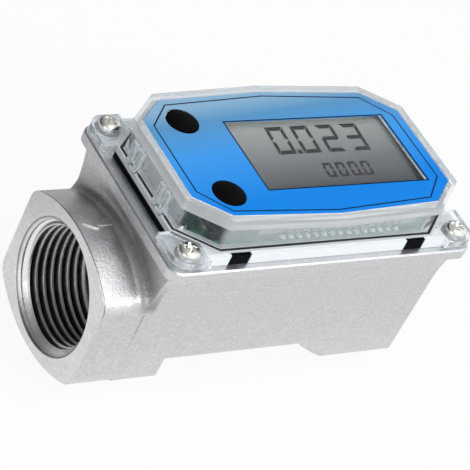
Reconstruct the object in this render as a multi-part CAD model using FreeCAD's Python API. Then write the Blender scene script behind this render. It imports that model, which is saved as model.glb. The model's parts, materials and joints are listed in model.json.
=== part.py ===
import FreeCAD, Part
import math
import os

from FreeCAD import Vector

# Turbine flow meter with 1 inch parallel pipe threads: a cast aluminium
# housing with a turbine in its bore, and a clear cover over the electronics.
#
# Frame, in millimetres: X runs along the bore from the outlet (-X) to the
# inlet (+X), Y is across, Z is up. The origin is on the surface that the meter
# rests on, under the middle of its length. "Rise" is a height above the bore
# axis, and "reach" is a distance along X from the middle of the deck.

# ---------------------------------------------------------------- housing
axis_height = 20.0          # bore axis above the surface, also the boss crown
overall_length = 102.0      # outlet face to the far edge of the deck
deck_length = 92.0
deck_width = 53.0
deck_thickness = 3.0
deck_corner_radius = 3.5
deck_edge = 0.4             # chamfer round the deck's top
deck_overhang = 2.2         # deck past each end wall
deck_rise = 29.2            # top of the deck above the bore axis
crown_radius = 36.0         # flat arc over and under the bosses
wrench_width = 42.0         # across the two flats of the outlet boss
boss_edge_radius = 5.0      # rounding between the boss's crowns and its flats
boss_root_radius = 3.0      # fillet where the boss's crown meets the end wall
flank_low_width = 41.4      # across the drafted flanks, at their foot
flank_width = 42.8          # across the flanks where the flare starts
flare_start_rise = 12.0
shoulder_width = 48.0       # across the flare under the deck
flank_drop = 8.2            # flank's lower edge under the bore axis
flank_edge_radius = 2.0
foot_edge_radius = 1.6
outlet_foot_length = 13.0   # cast foot behind the outlet boss
inlet_foot_length = 22.6
tube_wall = 3.0             # wall round the bore between the feet

# ------------------------------------------------------------ ports and bore
thread_radius = 16.62       # major radius of the pipe thread
port_depth = 20.0
port_chamfer = 1.0
support_bore_radius = 13.2
rotor_bore_radius = 12.4
support_length = 14.0       # vane cage between its shoulder and its ring
groove_width = 1.3
groove_depth = 0.8
ring_land = 0.9             # bore left between the groove and the port

# ---------------------------------------------------------------- turbine
blade_count = 8
blade_length = 10.0
blade_thickness = 1.2
blade_lean = 26.0           # degrees from the bore axis, at mid length
blade_camber = 0.9          # rise of the blade's arc over its chord
blade_tip_gap = 0.4
rotor_hub_radius = 4.6
rotor_hub_length = 12.0
rotor_end_gap = 0.3         # to each bush flange
shaft_radius = 1.0
shaft_running_gap = 0.05
bush_radius = 2.4
bush_length = 5.0
bush_flange_radius = 3.2
bush_flange = 0.7
magnet_size = 2.0
magnet_depth = 2.4
support_hub_radius = 5.0
support_rim = 1.1
vane_count = 4
vane_thickness = 1.3
vane_setback = 1.0          # vanes in from the rim's inner end
nose_length = 7.5
nose_tip_radius = 1.2
nose_setback = 6.0          # nose's root inside the end of the rim
ring_thickness = 1.1
ring_reach = 1.7            # how far a retaining ring stands into the bore
ring_opening = 36.0         # degrees left open for the pliers
ring_gap = 0.1

# ------------------------------------------------------------- clear cover
gasket_thickness = 1.7
flange_thickness = 1.5
flange_side_inset = 1.9     # from the deck's long edge
dome_end_inset = 5.2        # from the deck's short edge to the dome wall
dome_side_inset = 4.6
dome_end_flat = 28.0        # straight part of the dome's end walls
dome_side_flat = 63.6       # straight part of its long walls
dome_wall = 1.8
dome_rise = 42.0            # top of the cover above the bore axis
plate_thickness = 3.0
plate_overhang = 0.8        # top plate past the dome walls
plate_bow = 1.7             # more overhang at the middle of the long sides
label_rim = 2.0
label_recess = 0.65
label_thickness = 0.25
label_gap = 0.1             # between the film's edge and its recess
gasket_overhang = 1.6       # gasket's outer edge past the dome wall
gasket_width = 2.6
rim_gap = 0.15
lug_length = 9.3
lug_width = 11.3
lug_corner_radius = 4.5
lug_inset = 0.2             # from the deck's edges
lug_lift = 1.2              # clear of the deck, apart from the screw pad
pad_radius = 3.4
tab_reach = 26.8            # gasket tabs along the long sides
tab_width = 5.7
tab_gap = 0.15
rib_spread = 14.4           # between the two ribs of an end wall
rib_width = 1.8
rib_split = 1.4             # slot inside each rib
rib_depth = 2.0
rib_height = 6.6
rib_edge = 0.5              # rounding of a rib's outer corners

# -------------------------------------------------------------- cover screws
screw_end_inset = 5.0
screw_side_inset = 4.2
screw_radius = 1.5
screw_hole_gap = 0.05
screw_lug_gap = 0.25
screw_head_radius = 2.95
screw_head_height = 1.8
screw_bite = 2.6            # thread in the deck
screw_point_gap = 0.2
screw_head_edge = 0.7       # chamfer round the head
recess_width = 0.8
recess_length = 3.0
recess_depth = 1.0

# ------------------------------------------------------ display and buttons
window_centre_reach = 8.5
window_length = 49.6
window_width = 24.3
window_shift = -0.35        # off the middle, towards the reader
button_end_inset = 12.6     # button axis in from the dome's end wall
button_side_inset = 9.1     # and from its side wall
button_radius = 4.2
button_gap = 0.3
button_crown = 0.5
button_flat_radius = 2.4    # flat middle of the crown
button_edge_sink = 0.25     # button's rim below the cover's top
collar_width = 0.9
collar_thickness = 0.8
collar_gap = 0.35
button_travel = 0.8
stem_radius = 1.5
press_margin = 0.3          # left between stem and switch at full travel
glass_length = 51.0
glass_width = 33.0
glass_thickness = 2.8
glass_gap = 0.15
carrier_margin_x = 1.0      # glass past the carrier
carrier_margin_y = 2.0
carrier_wall = 1.5
carrier_top = 1.0           # thickness under the glass
pin_count = 15
pin_pitch = 2.54
pin_size = 0.5
pin_edge = 0.6              # pin row in from the glass edge

# ------------------------------------------------------------- electronics
board_thickness = 1.6
board_lift = 0.3            # board's top above the deck
board_gap = 1.0             # inside the dome wall
cavity_gap = 0.6            # cavity wall outside the board
cavity_depth = 9.7
post_radius = 2.4
post_end_inset = 2.6        # post axis in from the board's end
post_spread = 19.0
rest_size = 4.0             # square rests under the board's other end
board_screw_radius = 1.0
board_screw_length = 6.0
board_screw_head_radius = 1.9
board_screw_head_height = 1.2
board_hole_gap = 0.2
switch_size = 6.0
switch_height = 2.4
switch_nub_radius = 1.7
switch_nub = 0.6            # nub above the switch's body
controller_size = 7.0
controller_height = 1.2
controller_lift = 0.1
controller_gap = 0.8        # from the capacitor
lead_count = 8
lead_pitch = 0.8
lead_length = 0.9
lead_width = 0.35
lead_height = 0.4
crystal_radius = 1.1
crystal_length = 6.0
crystal_gap = 1.2           # from the controller's leads
capacitor_radius = 2.3
capacitor_length = 7.0
capacitor_edge = 0.3        # chamfer at the can's ends
capacitor_inset = 3.6       # its axis in from the board's end
cell_well_gap = 4.35        # from the coil's well to the cell's holder
cell_radius = 12.25
cell_thickness = 5.0
cell_edge = 0.4
cell_gap = 0.2
holder_wall = 1.2
clip_thickness = 0.3
clip_width = 5.0
clip_gap = 0.15
well_size = 10.2            # square well for the coil, over the rotor
well_depth = 4.4
bobbin_gap = 0.2
bobbin_flange = 0.9
bobbin_core_radius = 2.4
winding_radius = 4.2
bobbin_height = 10.4
pole_radius = 1.3
coil_pin_size = 0.6

past = 1.0                  # how far a cutter runs past the face it opens
joined = 0.5                # how deep two fused forms run into each other

# ------------------------------------------------------------- worked out
outlet_face = -overall_length / 2
deck_mid = overall_length / 2 - deck_length / 2
outlet_wall = deck_mid - deck_length / 2 + deck_overhang
inlet_face = deck_mid + deck_length / 2 - deck_overhang
deck_top = axis_height + deck_rise
gasket_top = deck_top + gasket_thickness
flange_top = gasket_top + flange_thickness
cover_top = axis_height + dome_rise
plate_bottom = cover_top - plate_thickness
label_floor = cover_top - label_recess
board_top = deck_top + board_lift
board_bottom = board_top - board_thickness
cavity_floor = deck_top - cavity_depth
well_floor = cavity_floor - well_depth
glass_top = plate_bottom - glass_gap
glass_bottom = glass_top - glass_thickness
outlet_port_end = outlet_face + port_depth
inlet_port_end = inlet_face - port_depth
rotor_mid = (outlet_port_end + inlet_port_end) / 2
rotor_bore_length = inlet_port_end - outlet_port_end - 2 * (support_length + groove_width + ring_land)
dome_half_length = deck_length / 2 - dome_end_inset
dome_half_width = deck_width / 2 - dome_side_inset
flange_half_width = deck_width / 2 - flange_side_inset
button_reach = button_end_inset - dome_half_length
button_spread = 2 * (dome_half_width - button_side_inset)
board_half_length = dome_half_length - dome_wall - board_gap
post_reach = board_half_length - post_end_inset
capacitor_reach = capacitor_inset - board_half_length
controller_reach = capacitor_reach + capacitor_radius + controller_gap + lead_length + controller_size / 2
crystal_reach = controller_reach + controller_size / 2 + lead_length + crystal_gap + crystal_radius
cell_x = rotor_mid + well_size / 2 + cell_well_gap + holder_wall + cell_gap + cell_radius
screw_reach = deck_length / 2 - screw_end_inset
screw_offset = deck_width / 2 - screw_side_inset

X_AXIS = Vector(1, 0, 0)
Y_AXIS = Vector(0, 1, 0)
Z_AXIS = Vector(0, 0, 1)


# ------------------------------------------------------------------ helpers
def slab(x0, x1, y0, y1, z0, z1):
    """Box between two corners."""
    return Part.makeBox(x1 - x0, y1 - y0, z1 - z0, Vector(x0, y0, z0))


def disc(radius, x, y, z0, z1):
    """Upright cylinder from z0 to z1."""
    return Part.makeCylinder(radius, z1 - z0, Vector(x, y, z0), Z_AXIS)


def square(size, x, y, z0, z1):
    """Upright square post from z0 to z1."""
    half = size / 2
    return slab(x - half, x + half, y - half, y + half, z0, z1)


def rod(radius, x0, x1):
    """Cylinder on the bore axis from x0 to x1."""
    return Part.makeCylinder(radius, x1 - x0, Vector(x0, 0, axis_height), X_AXIS)


def fuse(shapes):
    """One solid from several that touch or overlap."""
    return shapes[0].multiFuse(shapes[1:]).removeSplitter()


def pick_edges(shape, test):
    """Edges whose middle point passes the test."""
    chosen = []
    for edge in shape.Edges:
        middle = edge.valueAt((edge.FirstParameter + edge.LastParameter) / 2)
        if test(middle):
            chosen.append(edge)
    return chosen


def prism(points, z0, z1):
    """Upright prism on a closed outline of (reach, y) points."""
    corners = [Vector(deck_mid + reach, y, z0) for reach, y in points]
    face = Part.Face(Part.makePolygon(corners + corners[:1]))
    return face.extrude(Vector(0, 0, z1 - z0))


def eight_sides(grow):
    """Dome wall outline, grown outwards or inwards by the same distance all round."""
    corner = math.hypot(2 * dome_half_length - dome_side_flat, 2 * dome_half_width - dome_end_flat)
    run = (2 * dome_half_length - dome_side_flat) / corner
    rise = (2 * dome_half_width - dome_end_flat) / corner
    end_half = dome_end_flat / 2 + grow * (1 - rise) / run
    side_half = dome_side_flat / 2 + grow * (1 - run) / rise
    length = dome_half_length + grow
    width = dome_half_width + grow
    return [(length, -end_half), (length, end_half), (side_half, width), (-side_half, width),
            (-length, end_half), (-length, -end_half), (-side_half, -width), (side_half, -width)]


def ten_sides(grow):
    """Top plate outline: the dome's, with its long sides bowed out to a corner."""
    outline = eight_sides(plate_overhang + grow)
    apex = dome_half_width + plate_overhang + plate_bow + grow
    return outline[:3] + [(0, apex)] + outline[3:7] + [(0, -apex)] + outline[7:]


def at_corners(make):
    """Four copies of a feature, one at each cover screw."""
    return [make(deck_mid + sx * screw_reach, sy * screw_offset) for sx in (-1, 1) for sy in (-1, 1)]


def at_posts(make, end=-1):
    """Two copies of a feature, at the board's screwed end, or at its other end."""
    return [make(deck_mid + end * post_reach, side * post_spread / 2) for side in (-1, 1)]


# ------------------------------------------------------------------ housing
def outlet_boss():
    """Wrench boss: two upright flats, a flat arc over and under them, and rounded edges."""
    x0 = outlet_face
    x1 = outlet_wall + outlet_foot_length / 2
    half_width = wrench_width / 2
    offset = crown_radius - axis_height
    block = slab(x0, x1, -half_width, half_width, 0, 2 * axis_height)
    over = Part.makeCylinder(crown_radius, x1 - x0, Vector(x0, 0, axis_height - offset), X_AXIS)
    under = Part.makeCylinder(crown_radius, x1 - x0, Vector(x0, 0, axis_height + offset), X_AXIS)
    block = block.common(over).common(under)
    along = pick_edges(block, lambda p: abs(abs(p.y) - half_width) < 0.01 and abs(p.x - (x0 + x1) / 2) < 0.01)
    return block.makeFillet(boss_edge_radius, along)


def boss_root():
    """Fillet between the boss's upper crown, with its two roundings, and the end wall."""
    offset = crown_radius - axis_height
    round_y = wrench_width / 2 - boss_edge_radius
    round_rise = math.sqrt((crown_radius - boss_edge_radius) ** 2 - round_y ** 2) - offset
    lean = math.degrees(math.atan2(round_y, round_rise + offset))
    root = boss_root_radius

    def turned(radius, y, rise, start, sweep):
        """Fillet's profile at the top of a circle about (y, rise), swept round part of it."""
        top = axis_height + rise + radius
        low = top - joined
        corners = [Vector(outlet_wall - root, y, top), Vector(outlet_wall - root, y, low),
                   Vector(outlet_wall + joined, y, low), Vector(outlet_wall + joined, y, top + root),
                   Vector(outlet_wall, y, top + root)]
        sides = [Part.makeLine(corners[at], corners[at + 1]) for at in range(len(corners) - 1)]
        turn = math.radians(45)
        hollow = Vector(outlet_wall - root + root * math.sin(turn), y, top + root - root * math.cos(turn))
        sides.append(Part.Arc(corners[-1], hollow, corners[0]).toShape())
        profile = Part.Face(Part.Wire(sides))
        centre = Vector(0, y, axis_height + rise)
        profile.rotate(centre, X_AXIS, start)
        return profile.revolve(centre, X_AXIS, sweep)

    pieces = [turned(crown_radius, 0, -offset, -lean, 2 * lean)]
    pieces.append(turned(boss_edge_radius, -round_y, round_rise, lean, 90 - lean))
    pieces.append(turned(boss_edge_radius, round_y, round_rise, -90, 90 - lean))
    wall = cast_section(outlet_wall - root).extrude(Vector(root + joined, 0, 0))
    return [piece.common(wall) for piece in pieces]


def cast_section(x):
    """Casting profile: crowned underside, drafted flanks, flare to the deck."""
    def at(y, rise):
        return Vector(x, y, axis_height + rise)

    low = flank_low_width / 2
    flank = flank_width / 2
    shoulder = shoulder_width / 2
    crown_rise = crown_radius - axis_height - math.sqrt(crown_radius ** 2 - low ** 2)
    top = deck_rise - deck_thickness
    height = top - flare_start_rise
    spread = shoulder - flank
    radius = (height ** 2 + spread ** 2) / (2 * spread)
    half_angle = math.asin(height / radius) / 2
    mid_y = flank + radius * (1 - math.cos(half_angle))
    mid_rise = flare_start_rise + radius * math.sin(half_angle)
    edges = [
        Part.Arc(at(-low, crown_rise), at(0, -axis_height), at(low, crown_rise)).toShape(),
        Part.LineSegment(at(low, crown_rise), at(flank, flare_start_rise)).toShape(),
        Part.Arc(at(flank, flare_start_rise), at(mid_y, mid_rise), at(shoulder, top)).toShape(),
        Part.LineSegment(at(shoulder, top), at(-shoulder, top)).toShape(),
        Part.Arc(at(-shoulder, top), at(-mid_y, mid_rise), at(-flank, flare_start_rise)).toShape(),
        Part.LineSegment(at(-flank, flare_start_rise), at(-low, crown_rise)).toShape(),
    ]
    return Part.Face(Part.Wire(edges))


def underside_arch():
    """Material taken away between the two feet, round the bore's tube."""
    x0 = outlet_wall + outlet_foot_length
    x1 = inlet_face - inlet_foot_length
    top = axis_height - flank_drop
    block = slab(x0, x1, -deck_width, deck_width, -axis_height, top)
    tube = rod(support_bore_radius + tube_wall, x0 - past, x1 + past)
    return block.cut(tube)


def casting():
    """Outer form of the casting, before anything is bored or milled."""
    body = cast_section(outlet_wall).extrude(Vector(inlet_face - outlet_wall, 0, 0))
    half = flank_low_width / 2
    lower = pick_edges(body, lambda p: abs(abs(p.y) - half) < 0.5 and p.z < axis_height - flank_drop)
    along = [edge for edge in lower if abs(edge.tangentAt(edge.FirstParameter).x) > 0.9]
    body = body.makeFillet(foot_edge_radius, along)
    body = body.cut(underside_arch())
    ledge = axis_height - flank_drop
    rims = pick_edges(body, lambda p: abs(p.z - ledge) < 0.01 and abs(p.y) > half - 0.01)
    return body.makeFillet(flank_edge_radius, rims)


def deck():
    """Rounded plate that carries the cover."""
    plate = slab(deck_mid - deck_length / 2, deck_mid + deck_length / 2,
                 -deck_width / 2, deck_width / 2, deck_top - deck_thickness, deck_top)
    upright = pick_edges(plate, lambda p: abs(p.z - deck_top + deck_thickness / 2) < 0.01)
    plate = plate.makeFillet(deck_corner_radius, upright)
    rim = pick_edges(plate, lambda p: abs(p.z - deck_top) < 0.01)
    return plate.makeChamfer(deck_edge, rim)


def port(face, inward):
    """Threaded port at its major radius, with its lead-in chamfer."""
    hole = Part.makeCylinder(thread_radius, port_depth, Vector(face, 0, axis_height), X_AXIS * inward)
    lead = Part.makeCone(thread_radius + port_chamfer, thread_radius, port_chamfer,
                         Vector(face, 0, axis_height), X_AXIS * inward)
    return hole.fuse(lead)


def ring_groove(side):
    """Groove for a retaining ring, outside the vane cage."""
    near = rotor_bore_length / 2 + support_length
    start = rotor_mid + side * near
    return Part.makeCylinder(support_bore_radius + groove_depth, groove_width,
                             Vector(start, 0, axis_height), X_AXIS * side)


def housing():
    body = fuse([casting(), deck(), outlet_boss()] + boss_root())
    half_bore = rotor_bore_length / 2
    cuts = [
        port(outlet_face, 1),
        port(inlet_face, -1),
        rod(rotor_bore_radius, rotor_mid - half_bore, rotor_mid + half_bore),
        rod(support_bore_radius, outlet_port_end - past, rotor_mid - half_bore),
        rod(support_bore_radius, rotor_mid + half_bore, inlet_port_end + past),
        ring_groove(-1),
        ring_groove(1),
        prism(eight_sides(cavity_gap - dome_wall - board_gap), cavity_floor, deck_top + past),
        square(well_size, rotor_mid, 0, well_floor, cavity_floor + past),
    ]
    hole_floor = deck_top - screw_bite - screw_point_gap
    cuts += at_corners(lambda x, y: disc(screw_radius + screw_hole_gap, x, y, hole_floor, deck_top + past))
    body = body.cut(Part.makeCompound(cuts))
    posts = at_posts(lambda x, y: disc(post_radius, x, y, cavity_floor - joined, board_bottom))
    rests = at_posts(lambda x, y: square(rest_size, x, y, cavity_floor - joined, board_bottom), end=1)
    body = fuse([body] + posts + rests)
    pilot = board_screw_radius + screw_hole_gap
    pilot_floor = board_top - board_screw_length - screw_point_gap
    pilots = at_posts(lambda x, y: disc(pilot, x, y, pilot_floor, board_bottom + past))
    return body.cut(Part.makeCompound(pilots))


# ------------------------------------------------------------------ turbine
def turn_about_bore(shape, degrees):
    """Copy turned about the bore axis."""
    copy = shape.copy()
    copy.rotate(Vector(rotor_mid, 0, axis_height), X_AXIS, degrees)
    return copy


def support(side):
    """Vane cage that holds one bush: rim, straightening vanes, hub and nose."""
    shoulder = rotor_bore_length / 2
    outer = shoulder + support_length
    rim_radius = support_bore_radius - shaft_running_gap
    hub_start = rotor_hub_length / 2 + rotor_end_gap + bush_flange

    def tube(radius, near, far):
        return Part.makeCylinder(radius, far - near, Vector(rotor_mid + side * near, 0, axis_height),
                                 X_AXIS * side)

    rim = tube(rim_radius, shoulder, outer)
    rim = rim.cut(tube(rim_radius - support_rim, shoulder - past, outer + past))
    hub = tube(support_hub_radius, hub_start, outer - nose_setback)
    root = Vector(rotor_mid + side * (outer - nose_setback), 0, axis_height)
    nose = Part.makeCone(support_hub_radius, nose_tip_radius, nose_length, root, X_AXIS * side)
    parts = [rim, hub, nose]
    vane_start = shoulder + vane_setback
    for number in range(vane_count):
        low = min(side * vane_start, side * outer)
        vane = slab(rotor_mid + low, rotor_mid + low + outer - vane_start, -vane_thickness / 2,
                    vane_thickness / 2, axis_height + support_hub_radius / 2,
                    axis_height + rim_radius - support_rim / 2)
        parts.append(turn_about_bore(vane, 360 * (number + 0.5) / vane_count))
    seat = tube(bush_radius, hub_start - past, hub_start + bush_length + rotor_end_gap)
    return fuse(parts).cut(seat)


def bush(side):
    """Flanged bearing bush, blind side left open to the hub."""
    start = rotor_hub_length / 2 + rotor_end_gap
    base = Vector(rotor_mid + side * start, 0, axis_height)
    direction = X_AXIS * side
    flange = Part.makeCylinder(bush_flange_radius, bush_flange, base, direction)
    body = Part.makeCylinder(bush_radius, bush_flange + bush_length, base, direction)
    bore = Part.makeCylinder(shaft_radius + shaft_running_gap, bush_flange + bush_length, base, direction)
    return fuse([flange, body]).cut(bore)


def retaining_ring(side):
    """Open spring ring in its groove."""
    start = rotor_bore_length / 2 + support_length + ring_gap
    base = Vector(rotor_mid + side * start, 0, axis_height)
    direction = X_AXIS * side
    outer_radius = support_bore_radius + groove_depth - ring_gap
    ring = Part.makeCylinder(outer_radius, ring_thickness, base, direction, 360 - ring_opening)
    hole = Part.makeCylinder(support_bore_radius - ring_reach, ring_thickness, base, direction)
    return ring.cut(hole)


def blade():
    """Cambered blade: an arc-shaped profile, drawn out along its radius to the tip circle."""
    tip = rotor_bore_radius - blade_tip_gap
    root = rotor_hub_radius / 2
    start = rotor_mid - blade_length / 2
    end = rotor_mid + blade_length / 2
    half_rise = blade_length / 2 * math.tan(math.radians(blade_lean))

    def arc(shift):
        """One face's arc, shifted across the blade."""
        return Part.Arc(Vector(start, shift - half_rise, axis_height + root),
                        Vector(rotor_mid, shift + blade_camber, axis_height + root),
                        Vector(end, shift + half_rise, axis_height + root)).toShape()

    half = blade_thickness / 2
    low = arc(-half)
    high = arc(half)
    nose = Part.makeLine(low.firstVertex().Point, high.firstVertex().Point)
    tail = Part.makeLine(low.lastVertex().Point, high.lastVertex().Point)
    profile = Part.Face(Part.Wire(Part.__sortEdges__([low, tail, high, nose])))
    return profile.extrude(Z_AXIS * (tip - root + past)).common(rod(tip, start, end))


def rotor():
    """Turbine wheel: cambered blades round a hub with two magnet pockets."""
    half = rotor_hub_length / 2
    hub = rod(rotor_hub_radius, rotor_mid - half, rotor_mid + half)
    blades = [turn_about_bore(blade(), 360 * number / blade_count) for number in range(blade_count)]
    wheel = fuse([hub] + blades)
    wheel = wheel.cut(rod(shaft_radius, rotor_mid - half - past, rotor_mid + half + past))
    return wheel.cut(Part.makeCompound(magnet_pair()))


def magnet_pair():
    """Two square magnets let into the hub's inlet end, on opposite sides."""
    end = rotor_mid + rotor_hub_length / 2
    hub = rod(rotor_hub_radius, end - magnet_size, end)
    half = magnet_size / 2
    pair = []
    for side in (-1, 1):
        low, high = sorted((axis_height + side * (rotor_hub_radius - magnet_depth),
                            axis_height + side * rotor_hub_radius))
        pair.append(slab(end - magnet_size, end, -half, half, low, high).common(hub))
    return pair


def shaft():
    """Steel shaft fixed in the rotor, its ends running in the bushes."""
    half = rotor_hub_length / 2 + bush_flange + bush_length
    return rod(shaft_radius, rotor_mid - half, rotor_mid + half)


# -------------------------------------------------------------------- cover
def lug(x, y):
    """Rounded corner lug, lifted off the deck apart from a round screw pad."""
    sx = 1 if x > deck_mid else -1
    sy = 1 if y > 0 else -1
    outer_x = deck_mid + sx * (deck_length / 2 - lug_inset)
    outer_y = sy * (deck_width / 2 - lug_inset)
    inner_x = outer_x - sx * (lug_length + joined)
    inner_y = outer_y - sy * lug_width
    block = slab(min(outer_x, inner_x), max(outer_x, inner_x), min(outer_y, inner_y),
                 max(outer_y, inner_y), deck_top + lug_lift, flange_top)
    corner = pick_edges(block, lambda p: abs(p.x - outer_x) < 0.01 and abs(p.y - outer_y) < 0.01)
    return block.makeFillet(lug_corner_radius, corner)


def cover_rib(side, offset):
    """Split upright rib on an end wall of the dome."""
    wall = dome_half_length
    reach = side * (wall + rib_depth)
    inner = side * (wall - dome_wall / 2)
    low, high = sorted((deck_mid + inner, deck_mid + reach))
    ribs = []
    for half in (-1, 1):
        y = offset + half * (rib_split + rib_width) / 2
        rib = slab(low, high, y - rib_width / 2, y + rib_width / 2, flange_top - joined,
                   flange_top + rib_height)
        middle = flange_top + (rib_height - joined) / 2
        corners = pick_edges(rib, lambda p: abs(p.x - (deck_mid + reach)) < 0.01 and abs(p.z - middle) < 0.01)
        ribs.append(rib.makeFillet(rib_edge, corners))
    return ribs


def button_hole_places():
    """The two button axes as (x, y)."""
    return [(deck_mid + button_reach, side * button_spread / 2) for side in (1, -1)]


def tab_places():
    """The four gasket tabs as (x, side of the meter)."""
    return [(deck_mid + sx * tab_reach, side) for sx in (-1, 1) for side in (-1, 1)]


def display_cover():
    """Clear cover: flange with rims and lugs, eight-sided dome, ribs and a bowed top plate."""
    flange = prism(eight_sides(gasket_overhang), gasket_top, flange_top)
    reach = deck_length / 2 - lug_inset - lug_length
    rim_inner = dome_half_width + gasket_overhang + rim_gap
    strips = []
    for side in (-1, 1):
        y0, y1 = sorted((side * (dome_half_width - dome_wall / 2), side * flange_half_width))
        strips.append(slab(deck_mid - reach - joined, deck_mid + reach + joined, y0, y1, gasket_top, flange_top))
        y0, y1 = sorted((side * rim_inner, side * flange_half_width))
        strips.append(slab(deck_mid - reach, deck_mid + reach, y0, y1, deck_top + tab_gap, flange_top))
    lugs = at_corners(lug)
    pads = at_corners(lambda x, y: disc(pad_radius, x, y, deck_top, flange_top))
    walls = prism(eight_sides(0), gasket_top, plate_bottom + joined)
    plate = prism(ten_sides(0), plate_bottom, cover_top)
    ribs = []
    for side in (-1, 1):
        for offset in (-rib_spread / 2, rib_spread / 2):
            ribs += cover_rib(side, offset)
    body = fuse([flange] + strips + lugs + pads + [walls, plate] + ribs)
    cuts = [
        prism(eight_sides(-dome_wall), deck_top, plate_bottom),
        prism(eight_sides(gasket_overhang + rim_gap), deck_top - past, gasket_top),
        prism(ten_sides(-label_rim), label_floor, cover_top + past),
    ]
    hole = screw_radius + screw_lug_gap
    cuts += at_corners(lambda x, y: disc(hole, x, y, deck_top - past, flange_top + past))
    for x, y in button_hole_places():
        cuts.append(disc(button_radius + button_gap, x, y, plate_bottom - past, cover_top + past))
    half = tab_width / 2 + tab_gap
    for x, side in tab_places():
        y0, y1 = sorted((side * (rim_inner - rim_gap), side * deck_width))
        cuts.append(slab(x - half, x + half, y0, y1, deck_top - past, flange_top + past))
    return body.cut(Part.makeCompound(cuts))


def cover_gasket():
    """Eight-sided seal with four tabs that key into the cover's long rims."""
    edge = dome_half_width + gasket_overhang
    half = tab_width / 2
    parts = [prism(eight_sides(gasket_overhang), deck_top, gasket_top)]
    for x, side in tab_places():
        y0, y1 = sorted((side * (edge - joined), side * (flange_half_width - tab_gap)))
        parts.append(slab(x - half, x + half, y0, y1, deck_top, gasket_top))
        y0, y1 = sorted((side * (edge + tab_gap), side * (flange_half_width - tab_gap)))
        parts.append(slab(x - half, x + half, y0, y1, deck_top, flange_top - tab_gap))
    opening = prism(eight_sides(gasket_overhang - gasket_width), deck_top - past, gasket_top + past)
    return fuse(parts).cut(opening)


def cover_screws():
    """Four cross-recessed screws through the cover's lugs."""
    def one(x, y):
        top = flange_top + screw_head_height
        shank = disc(screw_radius, x, y, deck_top - screw_bite, flange_top + joined)
        head = disc(screw_head_radius, x, y, flange_top, top)
        rim = pick_edges(head, lambda p: p.z > top - 0.01)
        head = head.makeChamfer(screw_head_edge, rim)
        long_half = recess_length / 2
        half = recess_width / 2
        slot = slab(x - long_half, x + long_half, y - half, y + half, top - recess_depth, top)
        cross = slab(x - half, x + half, y - long_half, y + long_half, top - recess_depth, top)
        return fuse([shank, head]).cut(slot.fuse(cross))

    return Part.makeCompound(at_corners(one))


# -------------------------------------------------------- label and buttons
def face_label():
    """Printed film in the cover's recess, open over the display and the buttons."""
    film = prism(ten_sides(-label_rim - label_gap), label_floor, label_floor + label_thickness)
    x, y = window_origin()
    cuts = [slab(x - window_length / 2, x + window_length / 2, y - window_width / 2, y + window_width / 2,
                 label_floor - past, cover_top)]
    for bx, by in button_hole_places():
        cuts.append(disc(button_radius + button_gap, bx, by, label_floor - past, cover_top))
    return film.cut(Part.makeCompound(cuts))


def push_button(x, y):
    """Button cap with a low crown, a collar that holds it in, and its stem."""
    edge = cover_top - button_edge_sink
    collar_top = plate_bottom - collar_gap
    cap = disc(button_radius, x, y, collar_top - joined, edge)
    crown = Part.makeCone(button_radius, button_flat_radius, button_crown, Vector(x, y, edge), Z_AXIS)
    collar = disc(button_radius + collar_width, x, y, collar_top - collar_thickness, collar_top)
    stem_end = board_top + switch_height + switch_nub + press_margin + button_travel
    stem = disc(stem_radius, x, y, stem_end, collar_top)
    return fuse([cap, crown, collar, stem])


# -------------------------------------------------------------- electronics
def window_origin():
    """Middle of the display in row coordinates."""
    return deck_mid + window_centre_reach, window_shift


def lcd_glass():
    """Display cell under the window."""
    x, y = window_origin()
    return slab(x - glass_length / 2, x + glass_length / 2, y - glass_width / 2, y + glass_width / 2,
                glass_bottom, glass_top)


def lcd_carrier():
    """Open plastic frame between the board and the glass."""
    x, y = window_origin()
    half_x = glass_length / 2 - carrier_margin_x
    half_y = glass_width / 2 - carrier_margin_y
    block = slab(x - half_x, x + half_x, y - half_y, y + half_y, board_top, glass_bottom)
    inner_x = half_x - carrier_wall
    inner_y = half_y - carrier_wall
    hollow = slab(x - inner_x, x + inner_x, y - inner_y, y + inner_y, board_top - past,
                  glass_bottom - carrier_top)
    return block.cut(hollow)


def lcd_pins():
    """Two rows of pins between the board and the glass."""
    x, y = window_origin()
    offset = glass_width / 2 - pin_edge
    pins = []
    for number in range(pin_count):
        px = x + (number - (pin_count - 1) / 2) * pin_pitch
        for side in (-1, 1):
            pins.append(square(pin_size, px, y + side * offset, board_top, glass_bottom))
    return Part.makeCompound(pins)


def circuit_board():
    """Board with the dome's outline, seated on the posts and rests."""
    board = prism(eight_sides(-dome_wall - board_gap), board_bottom, board_top)
    hole = board_screw_radius + board_hole_gap
    holes = at_posts(lambda x, y: disc(hole, x, y, board_bottom - past, board_top + past))
    return board.cut(Part.makeCompound(holes))


def board_screws():
    """Two screws that hold the board to its posts."""
    def one(x, y):
        head = disc(board_screw_head_radius, x, y, board_top, board_top + board_screw_head_height)
        shank = disc(board_screw_radius, x, y, board_top - board_screw_length, board_top + joined)
        return fuse([head, shank])

    return Part.makeCompound(at_posts(one))


def tactile_switches():
    """Two board switches under the button stems."""
    switches = []
    for x, y in button_hole_places():
        body = square(switch_size, x, y, board_top, board_top + switch_height)
        nub = disc(switch_nub_radius, x, y, board_top, board_top + switch_height + switch_nub)
        switches.append(fuse([body, nub]))
    return Part.makeCompound(switches)


def microcontroller():
    """Square package with a row of leads on two sides."""
    x = deck_mid + controller_reach
    half = controller_size / 2
    parts = [square(controller_size, x, 0, board_top + controller_lift, board_top + controller_height)]
    for number in range(lead_count):
        y = (number - (lead_count - 1) / 2) * lead_pitch
        parts.append(slab(x - half - lead_length, x + half + lead_length, y - lead_width / 2,
                          y + lead_width / 2, board_top, board_top + lead_height))
    return fuse(parts)


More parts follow.
